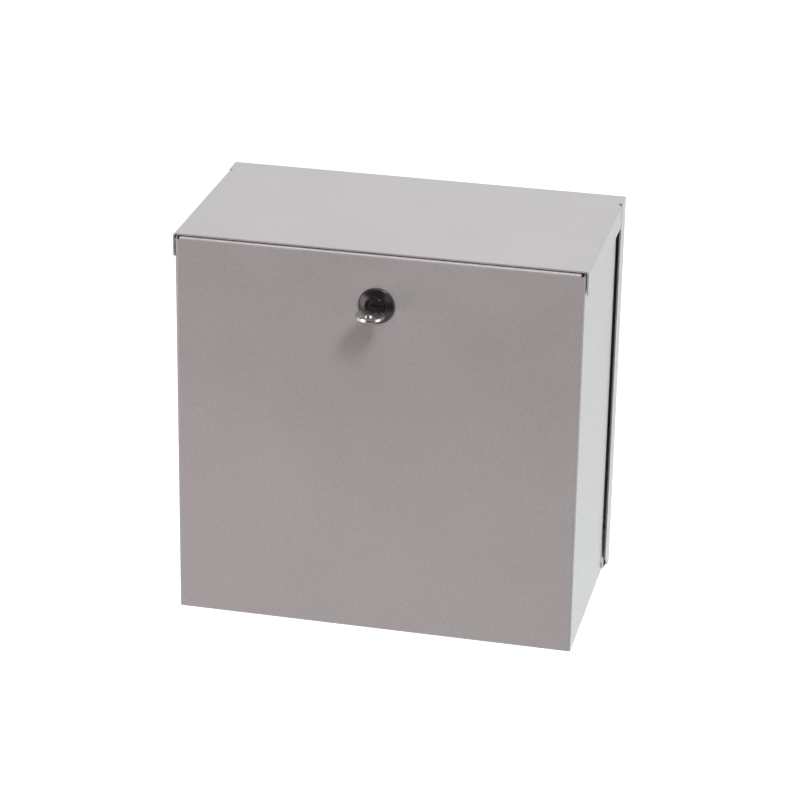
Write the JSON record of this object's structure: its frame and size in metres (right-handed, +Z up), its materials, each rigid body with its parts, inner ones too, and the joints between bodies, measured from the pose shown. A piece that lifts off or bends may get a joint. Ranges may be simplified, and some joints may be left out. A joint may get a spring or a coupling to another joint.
{
  "type": "steel wall enclosure",
  "caption": "Shallow folded steel enclosure that fixes to a wall; its front cover swings down on hinges at the foot and locks under the roof with a cam lock.",
  "frame": {"origin": "centre of the four wall holes, on the wall face of the back plate", "axes": "+X to the right seen from the front, +Y into the wall, +Z up"},
  "size_m": [0.304, 0.2015, 0.304],
  "materials": {
    "powder_coat": "fine-textured light grey powder coat",
    "zinc_plated_steel": "bright zinc plate",
    "black_zinc": "black plated die casting, semi-gloss",
    "nickel": "bright nickel plate",
    "brass": "plain brass",
    "nylon": "natural nylon"
  },
  "bodies": {
    "housing": {"rear_body": "powder_coat", "keeper_bracket": "zinc_plated_steel", "hinge_bracket_left": "zinc_plated_steel", "hinge_bracket_right": "zinc_plated_steel", "hinge_washers": "nylon", "mounting_plate": "zinc_plated_steel", "plate_studs": "zinc_plated_steel", "plate_spacers": "zinc_plated_steel", "plate_washers": "zinc_plated_steel", "plate_nuts": "zinc_plated_steel", "body_earth_stud": "brass", "body_earth_washers": "brass", "body_earth_nut": "brass"},
    "cover": {"front_cover": "powder_coat", "hinge_rivet_left": "powder_coat", "hinge_rivet_right": "powder_coat", "hinge_clips": "zinc_plated_steel", "cover_earth_stud": "brass", "cover_earth_washers": "brass", "cover_earth_nut": "brass", "lock_housing": "black_zinc", "lock_washer": "zinc_plated_steel", "lock_nut": "zinc_plated_steel"},
    "lock_core": {"lock_plug": "black_zinc", "lock_wafers": "brass", "stop_washer": "zinc_plated_steel", "lock_cam": "zinc_plated_steel", "cam_washer": "zinc_plated_steel", "cam_screw": "zinc_plated_steel"},
    "key": {"key": "nickel"}
  },
  "joints": [
    {"name": "cover_swing", "type": "hinge", "parent": "housing", "child": "cover", "pos_m": [0, -0.027, -0.142], "axis": [1, 0, 0], "range_deg": [0, 95]},
    {"name": "lock_turn", "type": "hinge", "parent": "cover", "child": "lock_core", "pos_m": [0, -0.17, 0.112], "axis": [0, 1, 0], "range_deg": [0, 90]},
    {"name": "key_pull", "type": "slide", "parent": "lock_core", "child": "key", "axis": [0, -1, 0], "range_m": [0, 0.025]}
  ]
}
